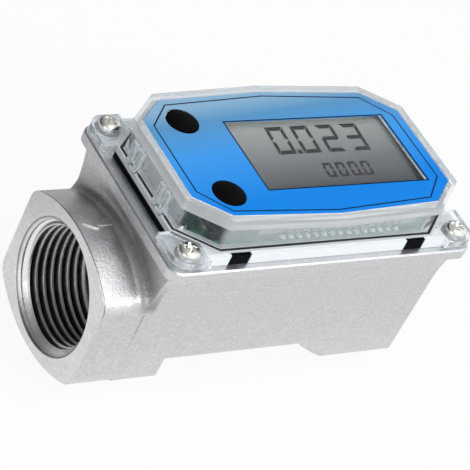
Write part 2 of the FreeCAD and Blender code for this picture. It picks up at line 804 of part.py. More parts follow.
def crystal():
    """Metal can lying on the board."""
    x = deck_mid + crystal_reach
    base = Vector(x, -crystal_length / 2, board_top + crystal_radius)
    return Part.makeCylinder(crystal_radius, crystal_length, base, Y_AXIS)


def capacitor():
    """Electrolytic can lying across the board's outlet end, between the posts."""
    half = capacitor_length / 2
    base = Vector(deck_mid + capacitor_reach, -half, board_top + capacitor_radius)
    can = Part.makeCylinder(capacitor_radius, capacitor_length, base, Y_AXIS)
    ends = pick_edges(can, lambda p: abs(p.y) > half - 0.01)
    return can.makeChamfer(capacitor_edge, ends)


def coin_cell():
    """Lithium cell hung under the board."""
    x = cell_x
    top = board_bottom - cell_gap
    cell = disc(cell_radius, x, 0, top - cell_thickness, top)
    low_rim = pick_edges(cell, lambda p: abs(p.z - top + cell_thickness) < 0.01)
    return cell.makeChamfer(cell_edge, low_rim)


def cell_holder():
    """Square plastic holder under the board, notched inside for the clip's legs."""
    x = cell_x
    bottom = board_bottom - cell_gap - cell_thickness
    outer = square(2 * (cell_radius + cell_gap + holder_wall), x, 0, bottom, board_bottom)
    inner = disc(cell_radius + cell_gap, x, 0, bottom - past, board_bottom + past)
    half = clip_width / 2 + clip_gap
    reach = cell_radius + cell_gap + clip_thickness + clip_gap
    notch = slab(x - half, x + half, -reach, reach, bottom - past, board_bottom + past)
    return outer.cut(inner).cut(notch)


def cell_clip():
    """Spring strip under the cell, its two legs standing to the board."""
    x = cell_x
    bottom = board_bottom - cell_gap - cell_thickness
    reach = cell_radius + cell_gap + clip_thickness
    half = clip_width / 2
    strip = slab(x - half, x + half, -reach, reach, bottom - clip_thickness, board_bottom)
    hollow = slab(x - half, x + half, clip_thickness - reach, reach - clip_thickness, bottom, board_bottom)
    return strip.cut(hollow)


def coil_bobbin():
    """Square-flanged spool of the pickup coil, seated in the well over the rotor."""
    base = well_floor + bobbin_gap
    top = base + bobbin_height
    flange = well_size - 2 * bobbin_gap
    low = square(flange, rotor_mid, 0, base, base + bobbin_flange)
    high = square(flange, rotor_mid, 0, top - bobbin_flange, top)
    core = disc(bobbin_core_radius, rotor_mid, 0, base, top)
    hole = disc(pole_radius, rotor_mid, 0, base - past, top + past)
    return fuse([low, high, core]).cut(hole)


def coil_winding():
    """Wire wound between the spool's flanges."""
    base = well_floor + bobbin_gap + bobbin_flange
    top = well_floor + bobbin_gap + bobbin_height - bobbin_flange
    core = disc(bobbin_core_radius, rotor_mid, 0, base - past, top + past)
    return disc(winding_radius, rotor_mid, 0, base, top).cut(core)


def pole_piece():
    """Iron core of the coil."""
    base = well_floor + bobbin_gap
    return disc(pole_radius, rotor_mid, 0, base, base + bobbin_height)


def coil_leads():
    """Two stiff pins from the bobbin to the board."""
    base = well_floor + bobbin_gap + bobbin_height
    offset = (bobbin_core_radius + winding_radius) / 2
    pins = [square(coil_pin_size, rotor_mid + side * offset, 0, base, board_bottom) for side in (-1, 1)]
    return Part.makeCompound(pins)


# ------------------------------------------------------------------- export
def build():
    """Every sub-part by its node name."""
    places = button_hole_places()
    return {
        "housing": housing(),
        "outlet_support": support(-1),
        "inlet_support": support(1),
        "outlet_bush": bush(-1),
        "inlet_bush": bush(1),
        "outlet_retaining_ring": retaining_ring(-1),
        "inlet_retaining_ring": retaining_ring(1),
        "turbine_rotor": rotor(),
        "rotor_shaft": shaft(),
        "rotor_magnets": Part.makeCompound(magnet_pair()),
        "display_cover": display_cover(),
        "cover_gasket": cover_gasket(),
        "cover_screws": cover_screws(),
        "face_label": face_label(),
        "calibrate_button": push_button(*places[0]),
        "display_button": push_button(*places[1]),
        "lcd_glass": lcd_glass(),
        "lcd_carrier": lcd_carrier(),
        "lcd_pins": lcd_pins(),
        "circuit_board": circuit_board(),
        "board_screws": board_screws(),
        "tactile_switches": tactile_switches(),
        "microcontroller": microcontroller(),
        "crystal": crystal(),
        "capacitor": capacitor(),
        "coin_cell": coin_cell(),
        "cell_holder": cell_holder(),
        "cell_clip": cell_clip(),
        "coil_bobbin": coil_bobbin(),
        "coil_winding": coil_winding(),
        "pole_piece": pole_piece(),
        "coil_leads": coil_leads(),
    }


os.makedirs("parts", exist_ok=True)
for name, shape in build().items():
    shape.exportStep(f"parts/{name}.step")
    box = shape.BoundBox
    print(f"{name:24s} solids {len(shape.Solids):2d} valid {shape.isValid()} volume {shape.Volume:9.1f} "
          f"x {box.XMin:7.2f} {box.XMax:7.2f} y {box.YMin:7.2f} {box.YMax:7.2f} z {box.ZMin:6.2f} {box.ZMax:6.2f}")
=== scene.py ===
# %% [markdown]
# # Turbine flow meter
# The meter is a cast aluminium body with a pipe thread at each end and a clear cover on top, under
# which sit a blue printed film, a grey display and two rubber buttons. The CAD model already holds
# every solid in its place, so it is loaded first as a fixed frame. What follows gives each solid
# its finish and adds the fine forms that CAD leaves out: soft edges, thread turns, printed lines,
# display segments, the cast arrow, screw recesses and solder.

# %% Load the frame
import json
import math

import bmesh
import bpy
from mathutils import Matrix, Vector


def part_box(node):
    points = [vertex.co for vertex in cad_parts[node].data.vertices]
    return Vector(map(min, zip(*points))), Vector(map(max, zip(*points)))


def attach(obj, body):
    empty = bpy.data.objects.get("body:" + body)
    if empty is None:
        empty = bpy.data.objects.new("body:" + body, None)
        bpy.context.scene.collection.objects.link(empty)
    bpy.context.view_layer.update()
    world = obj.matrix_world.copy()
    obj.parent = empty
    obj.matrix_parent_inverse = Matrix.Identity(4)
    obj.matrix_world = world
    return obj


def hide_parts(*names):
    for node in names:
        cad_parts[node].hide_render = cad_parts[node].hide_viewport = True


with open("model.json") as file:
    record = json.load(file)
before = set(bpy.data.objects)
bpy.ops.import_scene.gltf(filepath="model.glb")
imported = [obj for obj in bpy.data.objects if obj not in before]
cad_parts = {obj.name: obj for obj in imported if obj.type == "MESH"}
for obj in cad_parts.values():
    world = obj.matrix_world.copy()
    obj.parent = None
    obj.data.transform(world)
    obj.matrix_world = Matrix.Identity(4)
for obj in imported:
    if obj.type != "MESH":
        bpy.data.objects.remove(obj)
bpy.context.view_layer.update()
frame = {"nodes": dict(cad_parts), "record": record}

mm = 0.001
nodes = frame["nodes"]
record = frame["record"]
slot_of = {part["node"]: part["material_slot"] for part in record["subparts"]}
ports = {mount["name"]: mount for mount in record["mounts"]}

# %% [markdown]
# ## Camera
# A long lens from about 0.6 m keeps the sides of the body nearly parallel. The camera looks down
# over the outlet corner and is rolled, so the body climbs to the right. It is placed by azimuth,
# elevation and distance round a point on its line of sight, which is easier to read than a matrix.

# %% Camera
camera_azimuth = math.radians(-134.55)
camera_elevation = math.radians(36.21)
camera_distance = 594.5 * mm
camera_roll = math.radians(26.22)
camera_aim = Vector((-5.9, 9.7, 34.8)) * mm

camera_data = bpy.data.cameras.new("camera")
camera_data.sensor_width = 36
camera_data.lens = 179.15
camera_data.shift_x = 0.0596
camera_data.shift_y = -0.0628
camera = bpy.data.objects.new("camera", camera_data)
toward_camera = Vector((math.cos(camera_elevation) * math.cos(camera_azimuth),
                        math.cos(camera_elevation) * math.sin(camera_azimuth),
                        math.sin(camera_elevation)))
looking = (-toward_camera).to_track_quat("-Z", "Y").to_matrix().to_4x4()
camera.matrix_world = (Matrix.Translation(camera_aim + toward_camera * camera_distance)
                       @ looking @ Matrix.Rotation(camera_roll, 4, "Z"))
bpy.context.scene.collection.objects.link(camera)
bpy.context.scene.camera = camera
print("camera", round((camera_aim + toward_camera * camera_distance).z / mm), "mm over the floor")

# %% [markdown]
# ## Room
# Bright metal and clear plastic show their surroundings more than their own colour, so the room
# matters as much as the materials. A tent of cloth and cards could be modelled, but a world and a
# floor give the same reflections with less to trace. Their levels come from short chains of
# nodes, so the room starts with helpers that add one node, or one small sum, each.

# %% Node helpers
scene = bpy.context.scene
scene.view_settings.view_transform = "Standard"


def link(tree, source, target):
    """Joins two sockets of one node tree."""
    tree.links.new(source, target)


def math_node(tree, operation, *values):
    """Math node whose inputs are numbers or sockets; gives its output."""
    node = tree.nodes.new("ShaderNodeMath")
    node.operation = operation
    for at, value in enumerate(values):
        if isinstance(value, (int, float)):
            node.inputs[at].default_value = value
        else:
            link(tree, value, node.inputs[at])
    return node.outputs["Value"]


def shaded_steps(tree, value, steps):
    """Color ramp with steps of (position, grey level or color)."""
    ramp = tree.nodes.new("ShaderNodeValToRGB")
    elements = ramp.color_ramp.elements
    for at, (spot, level) in enumerate(steps):
        element = elements[at] if at < 2 else elements.new(spot)
        element.position = spot
        element.color = (*level, 1) if isinstance(level, tuple) else (level, level, level, 1)
    link(tree, value, ramp.inputs["Fac"])
    return ramp.outputs["Color"]


def lies_along(tree, coordinates, direction):
    """How far a point lies along a direction, in one kind of texture coordinates."""
    place = tree.nodes.new("ShaderNodeTexCoord")
    turn = tree.nodes.new("ShaderNodeVectorMath")
    turn.operation = "DOT_PRODUCT"
    turn.inputs[1].default_value = direction
    link(tree, place.outputs[coordinates], turn.inputs[0])
    return turn.outputs["Value"]


def mixed(tree, share, first, second):
    """Mix of two shaders, all second where the share is 1."""
    mix = tree.nodes.new("ShaderNodeMixShader")
    for socket, source in zip(mix.inputs, (share, first, second)):
        link(tree, source, socket)
    return mix.outputs["Shader"]


def looked_at(tree):
    """Light Path node, and 1 for rays from the camera or through clear plastic."""
    path = tree.nodes.new("ShaderNodeLightPath")
    return path, math_node(tree, "MAXIMUM", path.outputs["Is Camera Ray"],
                           path.outputs["Is Transmission Ray"])


print("view transform", scene.view_settings.view_transform)

# %% [markdown]
# ## World
# A plain white world would make turned metal look flat, and a dark one would spoil the white
# background. Light Path tells the uses apart: the world is white to the camera and to clear
# plastic, one plain level as a light, and in reflections it fades from white in front and at the
# inlet's end to dark grey behind the outlet.

# %% World
room_light = 0.65
toward_dark = (-0.3, 0.4, 0)
room_levels = ((0.32, 1.1), (0.48, 0.68), (0.68, 0.48), (0.90, 0.12))


def build_world():
    """World that is white to look at, plain as a light, and graded for reflections."""
    world = bpy.data.worlds.new("studio")
    scene.world = world
    world.use_nodes = True
    tree = world.node_tree
    tree.nodes.clear()
    output = tree.nodes.new("ShaderNodeOutputWorld")
    white = tree.nodes.new("ShaderNodeBackground")
    white.inputs["Color"].default_value = (1, 1, 1, 1)
    lamp = tree.nodes.new("ShaderNodeBackground")
    lamp.inputs["Strength"].default_value = room_light
    room = tree.nodes.new("ShaderNodeBackground")
    middle = math_node(tree, "ADD", lies_along(tree, "Generated", toward_dark), 0.5)
    link(tree, shaded_steps(tree, middle, room_levels), room.inputs["Color"])
    path, seen = looked_at(tree)
    unseen = mixed(tree, path.outputs["Is Glossy Ray"],
                   lamp.outputs["Background"], room.outputs["Background"])
    link(tree, mixed(tree, seen, unseen, white.outputs["Background"]), output.inputs["Surface"])
    return world


print("world", build_world().name)

# %% [markdown]
# ## Floor
# The meter stands on a pale floor that runs on into the white behind it. A lit floor alone would
# turn grey far out, so most of what the camera sees of it is an even white, and the rest is the
# lit floor with the meter's soft shadow. Upright metal mirrors the floor, so in those rays its
# level changes from front to back, like grey cards laid on a table.

# %% Floor
floor_radius = 1.6
floor_white = 0.9
card_reach = 90 * mm
card_levels = ((0.03, 0.95), (0.16, 0.77), (0.25, 0.80), (0.39, 0.98), (0.71, 0.98), (0.80, 0.55))


def stepped(tree, value, start, end, low, high):
    """Map range from low to high between start and end."""
    node = tree.nodes.new("ShaderNodeMapRange")
    for name, number in (("From Min", start), ("From Max", end), ("To Min", low), ("To Max", high)):
        node.inputs[name].default_value = number
    link(tree, value, node.inputs["Value"])
    return node.outputs["Result"]


def object_axes(tree):
    """X, Y and Z of the Object coordinates, in metres."""
    place = tree.nodes.new("ShaderNodeTexCoord")
    split = tree.nodes.new("ShaderNodeSeparateXYZ")
    link(tree, place.outputs["Object"], split.inputs["Vector"])
    return split.outputs["X"], split.outputs["Y"], split.outputs["Z"]


def build_floor():
    """Large pale disc under the meter."""
    mesh = bpy.data.meshes.new("floor")
    shape = bmesh.new()
    bmesh.ops.create_circle(shape, cap_ends=True, segments=64, radius=floor_radius)
    shape.to_mesh(mesh)
    shape.free()
    floor = bpy.data.objects.new("floor", mesh)
    scene.collection.objects.link(floor)
    material = bpy.data.materials.new("pale floor")
    material.use_nodes = True
    tree = material.node_tree
    shader = tree.nodes["Principled BSDF"]
    shader.inputs["Base Color"].default_value = (0.93, 0.93, 0.94, 1)
    shader.inputs["Roughness"].default_value = 0.9
    along = stepped(tree, object_axes(tree)[1], -card_reach, card_reach, 0.0, 1.0)
    cards = shaded_steps(tree, along, card_levels)
    path, seen = looked_at(tree)
    tint = tree.nodes.new("ShaderNodeMix")
    tint.data_type = "RGBA"
    tint.inputs["A"].default_value = (1, 1, 1, 1)
    link(tree, path.outputs["Is Glossy Ray"], tint.inputs["Factor"])
    link(tree, cards, tint.inputs["B"])
    glow = tree.nodes.new("ShaderNodeEmission")
    link(tree, tint.outputs["Result"], glow.inputs["Color"])
    seen = math_node(tree, "MAXIMUM", seen, path.outputs["Is Glossy Ray"])
    shown = mixed(tree, math_node(tree, "MULTIPLY", seen, floor_white),
                  shader.outputs["BSDF"], glow.outputs["Emission"])
    link(tree, shown, tree.nodes["Material Output"].inputs["Surface"])
    mesh.materials.append(material)
    return floor


print(build_floor().name, "on stage")

# %% [markdown]
# ## Lamps
# Three square soft lamps, as a product table has: a key lamp over the reader's shoulder, one high
# up for the faces that look upwards, and a weak fill lamp at the outlet's end. Spot lamps would
# give hard shadows. An area lamp looks down its own -Z, so that axis is turned towards the meter.

# %% Lamps
meter_middle = Vector((0, 0, 30)) * mm


def area_light(name, place, size, power):
    """Square soft lamp that looks at the meter."""
    data = bpy.data.lights.new(name, "AREA")
    data.shape = "SQUARE"
    data.size = size
    data.energy = power
    lamp = bpy.data.objects.new(name, data)
    lamp.matrix_world = (Matrix.Translation(place)
                         @ (meter_middle - place).to_track_quat("-Z", "Y").to_matrix().to_4x4())
    scene.collection.objects.link(lamp)
    print("lamp", name, power, "W")


area_light("key", Vector((0.15, -0.75, 0.75)), size=0.5, power=2.6)
area_light("top", Vector((0.14, -0.24, 0.8)), size=0.5, power=1.9)
area_light("fill", Vector((-0.8, -0.35, 0.25)), size=0.4, power=0.9)

# %% [markdown]
# ## Finishes
# Each finish is one Principled material. What several of them share is kept in a node group: a
# fine grain that moves roughness and a bump height. It reads Object coordinates in metres, so its
# scale is a real size and it never slides over a piece.

# %% Grain group
coarse_share = 0.12


def grain_group():
    """Node group: a fine height and a coarser mask, from a number of cells per metre."""
    group = bpy.data.node_groups.new("fine grain", "ShaderNodeTree")
    group.interface.new_socket(name="Cells per metre", in_out="INPUT", socket_type="NodeSocketFloat")
    group.interface.new_socket(name="Height", in_out="OUTPUT", socket_type="NodeSocketFloat")
    group.interface.new_socket(name="Mask", in_out="OUTPUT", socket_type="NodeSocketFloat")
    start = group.nodes.new("NodeGroupInput")
    end = group.nodes.new("NodeGroupOutput")
    place = group.nodes.new("ShaderNodeTexCoord")
    fine = group.nodes.new("ShaderNodeTexNoise")
    fine.inputs["Detail"].default_value = 3.0
    fine.inputs["Roughness"].default_value = 0.6
    coarse = group.nodes.new("ShaderNodeTexNoise")
    coarse.inputs["Detail"].default_value = 2.0
    fewer = group.nodes.new("ShaderNodeMath")
    fewer.operation = "MULTIPLY"
    fewer.inputs[1].default_value = coarse_share
    for noise in (fine, coarse):
        link(group, place.outputs["Object"], noise.inputs["Vector"])
    link(group, start.outputs["Cells per metre"], fine.inputs["Scale"])
    link(group, start.outputs["Cells per metre"], fewer.inputs[0])
    link(group, fewer.outputs["Value"], coarse.inputs["Scale"])
    link(group, fine.outputs["Fac"], end.inputs["Height"])
    link(group, coarse.outputs["Fac"], end.inputs["Mask"])
    return group


fine_grain = grain_group()
print("group", fine_grain.name, [socket.name for socket in fine_grain.interface.items_tree])

# %% [markdown]
# ## Plain finishes
# Most pieces are one plain material: cast or turned metal, acetal, rubber, a lacquered board. They
# differ in colour, roughness and grain, so one function makes them all from those numbers, and a
# table of finishes by material slot keeps them together. Sizes of grain are in cells per metre,
# and its depth is in metres.

# %% Plain finishes
noise_low = 0.3
noise_high = 0.7


def new_material(name):
    """Material with nodes, its tree and its shader."""
    material = bpy.data.materials.new(name)
    material.use_nodes = True
    return material, material.node_tree, material.node_tree.nodes["Principled BSDF"]


def grained(name, color, roughness, spread, cells, depth, metallic=0.0, shade=0.0):
    """Finish with fine grain: roughness and brightness vary by spread and shade."""
    material, tree, shader = new_material(name)
    grain = tree.nodes.new("ShaderNodeGroup")
    grain.node_tree = fine_grain
    grain.inputs["Cells per metre"].default_value = cells
    shader.inputs["Metallic"].default_value = metallic
    rough = stepped(tree, grain.outputs["Mask"], noise_low, noise_high,
                    roughness - spread, roughness + spread)
    link(tree, rough, shader.inputs["Roughness"])
    shader.inputs["Base Color"].default_value = (*color, 1)
    if shade:
        tint = tree.nodes.new("ShaderNodeMix")
        tint.data_type = "RGBA"
        tint.inputs["A"].default_value = (*[c * (1 - shade) for c in color], 1)
        tint.inputs["B"].default_value = (*[min(c * (1 + shade), 1) for c in color], 1)
        link(tree, grain.outputs["Height"], tint.inputs["Factor"])
        link(tree, tint.outputs["Result"], shader.inputs["Base Color"])
    bump = tree.nodes.new("ShaderNodeBump")
    bump.inputs["Distance"].default_value = depth
    link(tree, grain.outputs["Height"], bump.inputs["Height"])
    link(tree, bump.outputs["Normal"], shader.inputs["Normal"])
    return material


finishes = {
    "cast_metal": grained("tumbled casting", (0.70, 0.70, 0.715), 0.38, 0.08, 1400, 0.00010, 1.0, 0.27),
    "white_plastic": grained("acetal", (0.86, 0.86, 0.84), 0.45, 0.05, 3000, 0.00001),
    "rotor_plastic": grained("rotor plastic", (0.10, 0.11, 0.12), 0.40, 0.05, 3000, 0.00001),
    "bronze": grained("sintered bronze", (0.62, 0.42, 0.20), 0.40, 0.08, 4000, 0.00002, 1.0, 0.1),
    "spring_steel": grained("ground steel", (0.55, 0.55, 0.56), 0.30, 0.06, 4000, 0.00001, 1.0),
    "dark_metal": grained("dull iron", (0.22, 0.22, 0.23), 0.45, 0.06, 3000, 0.00002, 1.0),
    "black_rubber": grained("black rubber", (0.003, 0.003, 0.0035), 0.45, 0.06, 2500, 0.00002),
    "bright_screw": grained("bright plate", (0.80, 0.79, 0.76), 0.16, 0.05, 2500, 0.00002, 1.0, 0.05),
    "grey_plastic": grained("pale plastic", (0.60, 0.62, 0.62), 0.45, 0.05, 2500, 0.00001),
    "pin_metal": grained("tinned metal", (0.78, 0.77, 0.74), 0.25, 0.05, 3000, 0.00002, 1.0),
    "black_plastic": grained("black plastic", (0.02, 0.02, 0.021), 0.38, 0.05, 2500, 0.00002),
    "bright_steel": grained("nickel plate", (0.70, 0.70, 0.70), 0.22, 0.05, 2500, 0.00001, 1.0),
    "copper_wire": grained("enamelled wire", (0.65, 0.25, 0.08), 0.30, 0.05, 3000, 0.00003, 1.0, 0.1),
    "green_board": grained("lacquered board", (0.02, 0.16, 0.08), 0.30, 0.05, 2500, 0.00001, 0.0, 0.15),
}


def dulled(name, level):
    """Lowers a finish's mirror share, for surfaces that stay black under a lamp."""
    finishes[name].node_tree.nodes["Principled BSDF"].inputs["Specular IOR Level"].default_value = level


dulled("black_rubber", 0.02)
print("finishes", len(finishes))

# %% [markdown]
# ## Cut threads and the faced end
# The crests of the thread are bright from the tap, and the flanks are darkened with painted shade
# for the shadow between the turns, and with the cutting oil in them. How far a point is from the
# bore's axis tells crest from flank, so one mask along the radius darkens the metal outwards. The
# outlet's end was faced on a lathe, and a thin dark line of painted shade runs along the edge of
# the cut, placed by its distance from the end. The corner between boss and end wall lies in shade
# under the deck, so it is painted darker: that mask is the height over the boss's crown times the
# distance from the end. Painting such masks on a UV map would work too, but distances keep them in
# place on any copy of the solid.

# %% Thread and end finishes
housing_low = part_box("housing")[0]
bore_height = ports["outlet_port"]["pos_m"][2]
mouth_reach = abs(ports["outlet_port"]["pos_m"][0])
crown_radius = 36 * mm
crown_centre = 2 * bore_height - crown_radius
thread_crest = 15.15 * mm
flank_depth = 0.55 * mm
lead_in = (mouth_reach - 1.4 * mm, mouth_reach - 1.1 * mm)
# painted shade: a thin dark line along the faced edge, and the corner behind the boss
edge_shade_reach = 6 * mm
edge_shade_levels = ((0.01, 0.0), (0.03, 0.7), (0.06, 0.65), (0.10, 0.0))
crown_side = (bore_height + 10 * mm, bore_height + 12 * mm)
bore_side = (18.5 * mm, 19 * mm)
corner_shade_share = 0.5


def band(tree, value, rise, fall):
    """1 between two soft edges, each given by its start and end, and 0 outside them."""
    return math_node(tree, "MULTIPLY", stepped(tree, value, *rise, 0.0, 1.0),
                     stepped(tree, value, *fall, 1.0, 0.0))


def distance(tree, across, up):
    """Length of an offset that is given by its two legs."""
    return math_node(tree, "SQRT", math_node(tree, "ADD", math_node(tree, "MULTIPLY", across, across),
                                             math_node(tree, "MULTIPLY", up, up)))


def casting_copy(name):
    """Copy of the casting finish, its tree, its shader and its axes."""
    material = finishes["cast_metal"].copy()
    material.name = name
    tree = material.node_tree
    return material, tree, tree.nodes["Principled BSDF"], object_axes(tree)


def thread_with_painted_shade():
    """Casting finish with painted shade that darkens from the thread's crest outwards, inside the mouth.
    """
    material, tree, shader, (x, y, z) = casting_copy("thread with painted shade")
    radius = distance(tree, y, math_node(tree, "SUBTRACT", z, bore_height))
    depth = stepped(tree, radius, thread_crest, thread_crest + flank_depth, 0.0, 1.0)
    inside = stepped(tree, math_node(tree, "ABSOLUTE", x), *lead_in, 1.0, 0.0)
    depth = math_node(tree, "MULTIPLY", depth, inside)
    # painted shade: bright crests, and dark flanks between the turns
    color = shaded_steps(tree, depth, ((0.0, (0.85, 0.85, 0.87)), (0.9, (0.09, 0.09, 0.095))))
    link(tree, color, shader.inputs["Base Color"])
    return material


def casting_with_painted_shade():
    """Casting finish with painted shade: a dark line round the faced end and a darker corner behind the
    boss.
    """
    material, tree, shader, (x, y, z) = casting_copy("casting with painted shade")
    from_end = math_node(tree, "SUBTRACT", x, housing_low.x)
    # painted shade: a thin dark line along the edge of the faced end
    line = shaded_steps(tree, stepped(tree, from_end, 0.0, edge_shade_reach, 0.0, 1.0), edge_shade_levels)
    crown = stepped(tree, z, *crown_side, 0.0, 1.0)
    bore = stepped(tree, math_node(tree, "ABSOLUTE", y), *bore_side, 1.0, 0.0)
    line = math_node(tree, "MULTIPLY", line, math_node(tree, "MAXIMUM", crown, bore))
    # painted shade in the corner between boss and end wall, under the deck
    reach = distance(tree, y, math_node(tree, "SUBTRACT", z, crown_centre))
    over = math_node(tree, "SUBTRACT", reach, crown_radius)
    corner = math_node(tree, "MULTIPLY", band(tree, over, (-2 * mm, -0.3 * mm), (0.5 * mm, 8 * mm)),
                       band(tree, from_end, (7 * mm, 11 * mm), (14 * mm, 15 * mm)))
    corner = math_node(tree, "MULTIPLY", corner, corner_shade_share)
    mix = tree.nodes.new("ShaderNodeMix")
    mix.data_type = "RGBA"
    link(tree, math_node(tree, "MAXIMUM", line, corner), mix.inputs["Factor"])
    link(tree, shader.inputs["Base Color"].links[0].from_socket, mix.inputs["A"])
    # colour of the painted shade
    mix.inputs["B"].default_value = (0.06, 0.06, 0.065, 1)
    link(tree, mix.outputs["Result"], shader.inputs["Base Color"])
    return material


finishes["thread_with_painted_shade"] = thread_with_painted_shade()
finishes["casting_with_painted_shade"] = casting_with_painted_shade()
print("thread crest radius", round(thread_crest / mm, 2))

# %% [markdown]
# ## Clear cover
# The cover is injection moulded in clear plastic. The dome and the rims outside the seal look light,
# partly from a little haze in the thick walls and partly from the room's bright reflections in the
# clear walls and at their edges, while the thin flange right over the seal stays clear. Real
# scattering in a volume is slow to trace, so a share of matt white is mixed into the glass instead:
# it is that haze and painted reflection together, and the share is set by place: height above the
# flange, and distance outside the ten-sided wall. Lamps can't shine through glass, so shadow rays
# see a transparent shader, and the parts inside stay lit.

# %% Clear plastic
gasket_low, gasket_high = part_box("cover_gasket")
cover_low, cover_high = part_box("display_cover")
cell_low, cell_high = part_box("lcd_glass")
cell_middle = (cell_low + cell_high) / 2
flange_top = gasket_high.z + 0.15 * mm
window_half = Vector((24.8, 12.15)) * mm
seal_overhang = 1.6 * mm
plate_bottom = cover_high.z - 3.0 * mm
lug_start = (cover_high.x - cover_low.x) / 2 - 9.3 * mm
wall_middle = (gasket_low.x + gasket_high.x) / 2
wall_half_length = (gasket_high.x - gasket_low.x) / 2 - seal_overhang
wall_half_width = 21.9 * mm
diagonal = Vector((7.9, 9.0)).normalized()
diagonal_reach = diagonal.dot(Vector((wall_half_length, 14.0 * mm)))
facet_blend = 0.5 * mm
window_edge = (0.5 * mm, 0.7 * mm)
plate_side = (plate_bottom - 0.2 * mm, plate_bottom + 0.2 * mm)
plate_rim = (-1.4 * mm, -1.0 * mm)
seal_start = (0.15 * mm, 0.35 * mm)
seal_end = (0.85 * mm, 1.1 * mm)
long_rim = (1.6 * mm, 1.8 * mm)
lug_blend = 0.1 * mm
lug_rim = (1.5 * mm, 1.7 * mm)
flange_edge = (flange_top + 0.05 * mm, flange_top + 0.4 * mm)
# shares of matt white: a little haze, and painted reflection on the walls and edges
wall_haze_and_sheen = 0.22
corner_haze_and_sheen = 0.02
plate_edge_haze_and_sheen = 0.5
inner_flange_haze_and_sheen = 0.5
seal_haze_and_sheen = 0.01
outer_flange_haze_and_sheen = 0.7
rim_haze_and_sheen = 0.35
lug_share = 0.35


def box_distance(tree, across, half_across, deep, half_deep):
    """How far a point is outside a rectangle; negative inside it."""
    return math_node(tree, "MAXIMUM", math_node(tree, "SUBTRACT", across, half_across),
                     math_node(tree, "SUBTRACT", deep, half_deep))


def haze_and_sheen_share(tree):
    """Share of matt white, haze and painted reflection, in the clear plastic, by place: the wall, then the
    flange.
    """
    across, deep, height = object_axes(tree)
    x = math_node(tree, "ABSOLUTE", math_node(tree, "SUBTRACT", across, wall_middle))
    y = math_node(tree, "ABSOLUTE", deep)
    straight = box_distance(tree, x, wall_half_length, y, wall_half_width)
    slanted = math_node(tree, "ADD", math_node(tree, "MULTIPLY", x, diagonal.x),
                        math_node(tree, "MULTIPLY", y, diagonal.y))
    slanted = math_node(tree, "SUBTRACT", slanted, diagonal_reach)
    outside = math_node(tree, "MAXIMUM", straight, slanted)

    facet = math_node(tree, "SUBTRACT", slanted, straight)
    wall = stepped(tree, facet, -facet_blend, facet_blend, wall_haze_and_sheen, corner_haze_and_sheen)
    window_x = math_node(tree, "ABSOLUTE", math_node(tree, "SUBTRACT", across, cell_middle.x))
    window_y = math_node(tree, "ABSOLUTE", math_node(tree, "SUBTRACT", deep, cell_middle.y))
    past_window = box_distance(tree, window_x, window_half.x, window_y, window_half.y)
    wall = math_node(tree, "MULTIPLY", wall, stepped(tree, past_window, *window_edge, 0.0, 1.0))
    edge = stepped(tree, height, *plate_side, 0.0, plate_edge_haze_and_sheen)
    edge = math_node(tree, "MULTIPLY", edge, stepped(tree, outside, *plate_rim, 0.0, 1.0))
    wall = math_node(tree, "MAXIMUM", wall, edge)

    near = stepped(tree, outside, *seal_start, inner_flange_haze_and_sheen, seal_haze_and_sheen)
    far = stepped(tree, outside, *seal_end, 0.0, outer_flange_haze_and_sheen)
    flange = math_node(tree, "ADD", near, far)
    rim = math_node(tree, "SUBTRACT", y, wall_half_width)
    flange = math_node(tree, "ADD", flange, stepped(tree, rim, *long_rim, 0.0, rim_haze_and_sheen))
    lugs = stepped(tree, x, lug_start - lug_blend, lug_start + lug_blend, 0.0, 1.0)
    lugs = math_node(tree, "MULTIPLY", lugs, stepped(tree, outside, *lug_rim, 0.0, 1.0))
    flange = math_node(tree, "MULTIPLY", flange, stepped(tree, lugs, 0.0, 1.0, 1.0, lug_share))

    by_height = tree.nodes.new("ShaderNodeMix")
    link(tree, stepped(tree, height, *flange_edge, 0.0, 1.0), by_height.inputs["Factor"])
    link(tree, flange, by_height.inputs["A"])
    link(tree, wall, by_height.inputs["B"])
    return by_height.outputs["Result"]


def clear_plastic():
    """Clear moulded plastic, with haze and painted reflection in the walls and rims, that lets light
    through to what it covers.
    """
    material, tree, shader = new_material("clear plastic")
    shader.inputs["Base Color"].default_value = (0.92, 0.96, 0.99, 1)
    shader.inputs["Transmission Weight"].default_value = 1.0
    shader.inputs["Specular Tint"].default_value = (0.2, 0.2, 0.2, 1)
    shader.inputs["IOR"].default_value = 1.42
    shader.inputs["Roughness"].default_value = 0.03
    # matt white that stands for haze and painted reflection
    haze_and_sheen = tree.nodes.new("ShaderNodeBsdfDiffuse")
    haze_and_sheen.inputs["Color"].default_value = (0.92, 0.96, 0.99, 1)
    body = mixed(tree, haze_and_sheen_share(tree), shader.outputs["BSDF"], haze_and_sheen.outputs["BSDF"])
    open_shader = tree.nodes.new("ShaderNodeBsdfTransparent")
    open_shader.inputs["Color"].default_value = (0.95, 0.97, 0.975, 1)
    path = tree.nodes.new("ShaderNodeLightPath")
    shown = mixed(tree, path.outputs["Is Shadow Ray"], body, open_shader.outputs["BSDF"])
    link(tree, shown, tree.nodes["Material Output"].inputs["Surface"])
    return material


finishes["clear_plastic"] = clear_plastic()
print("wall", round(2 * wall_half_length / mm, 1), "x", round(2 * wall_half_width / mm, 1), "mm")

# %% [markdown]
# ## Printed film
# The film is printed in blue. Its colour here is deeper towards the reader and paler and greyer
# towards its far edge, where a reflection of the room is painted into it. The display cell is grey
# with the same painted reflection, so it darkens the same way. A picture could hold such a change,
# but it is slow and straight, so a color ramp along one direction of the Object coordinates gives
# it with no file. A thin coat gives the gloss of the print.

# %% Blue film
label_low, label_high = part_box("face_label")


def gradient(tree, direction, low, high, steps):
    """Color that changes along one direction of the Object coordinates."""
    share = stepped(tree, lies_along(tree, "Object", direction), low, high, 0.0, 1.0)
    return shaded_steps(tree, share, steps)


